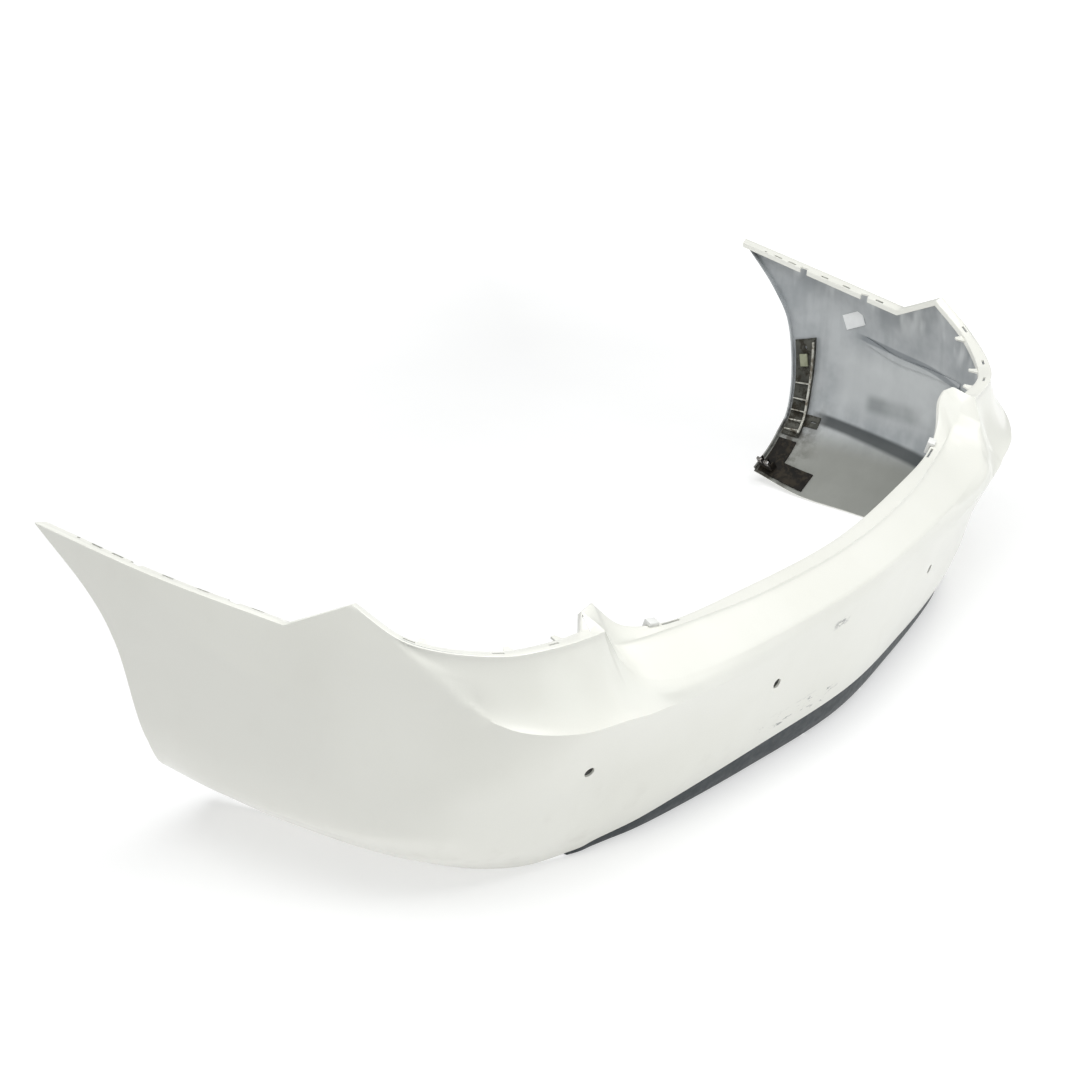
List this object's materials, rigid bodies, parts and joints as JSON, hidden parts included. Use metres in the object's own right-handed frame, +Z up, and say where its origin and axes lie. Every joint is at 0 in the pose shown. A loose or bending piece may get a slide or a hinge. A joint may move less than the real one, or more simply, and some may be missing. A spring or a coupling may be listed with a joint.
{
  "type": "rear bumper cover",
  "caption": "Painted rear bumper cover that wraps round a car's tail, with lamp and tailgate flanges, sensor bores, slatted arch brackets and a dark riveted lower valance.",
  "frame": {"origin": "middle of the bounding box in plan, on the surface that the cover stands on", "axes": "+X to the car's right along the cover's length, +Y to the front of the car, +Z up"},
  "size_m": [1.796, 0.7756, 0.4444],
  "materials": {
    "pearl_paint": "pearl off-white paint, satin to gloss, with light dust",
    "slate_plastic": "moulded dark slate grey, fine grain",
    "grey_plastic": "unpainted mid grey moulding",
    "dirty_plastic": "dark moulding with dried road dirt",
    "black_plastic": "black moulding",
    "white_plastic": "natural white moulding",
    "spring_steel": "dull zinc plated spring steel",
    "foam": "grey green foam tape",
    "paper": "blank matt paper label"
  },
  "bodies": {
    "cover": {"cover_skin": "pearl_paint", "lower_valance": "slate_plastic", "rivet_body_1": "black_plastic", "rivet_body_2": "black_plastic", "rivet_body_3": "black_plastic", "rivet_body_4": "black_plastic", "rivet_body_5": "black_plastic", "rivet_body_6": "black_plastic", "sensor_holder_1": "black_plastic", "sensor_holder_2": "black_plastic", "sensor_holder_3": "black_plastic", "sensor_holder_4": "black_plastic", "arch_bracket_left": "grey_plastic", "arch_foot_left": "dirty_plastic", "arch_clip_left_1": "spring_steel", "arch_clip_left_2": "spring_steel", "arch_pad_left": "foam", "ledge_clip_left": "white_plastic", "arch_bracket_right": "grey_plastic", "arch_foot_right": "dirty_plastic", "arch_clip_right_1": "spring_steel", "arch_clip_right_2": "spring_steel", "arch_pad_right": "foam", "ledge_clip_right": "white_plastic", "inside_label": "paper"},
    "pin_1": {"rivet_pin_1": "black_plastic"},
    "pin_2": {"rivet_pin_2": "black_plastic"},
    "pin_3": {"rivet_pin_3": "black_plastic"},
    "pin_4": {"rivet_pin_4": "black_plastic"},
    "pin_5": {"rivet_pin_5": "black_plastic"},
    "pin_6": {"rivet_pin_6": "black_plastic"}
  },
  "joints": [
    {"name": "rivet_1_pull", "type": "slide", "parent": "cover", "child": "pin_1", "axis": [0, 0, -1], "range_m": [0, 0.008]},
    {"name": "rivet_2_pull", "type": "slide", "parent": "cover", "child": "pin_2", "axis": [0, 0, -1], "range_m": [0, 0.008]},
    {"name": "rivet_3_pull", "type": "slide", "parent": "cover", "child": "pin_3", "axis": [0, 0, -1], "range_m": [0, 0.008]},
    {"name": "rivet_4_pull", "type": "slide", "parent": "cover", "child": "pin_4", "axis": [0, 0, -1], "range_m": [0, 0.008]},
    {"name": "rivet_5_pull", "type": "slide", "parent": "cover", "child": "pin_5", "axis": [0, 0, -1], "range_m": [0, 0.008]},
    {"name": "rivet_6_pull", "type": "slide", "parent": "cover", "child": "pin_6", "axis": [0, 0, -1], "range_m": [0, 0.008]}
  ]
}
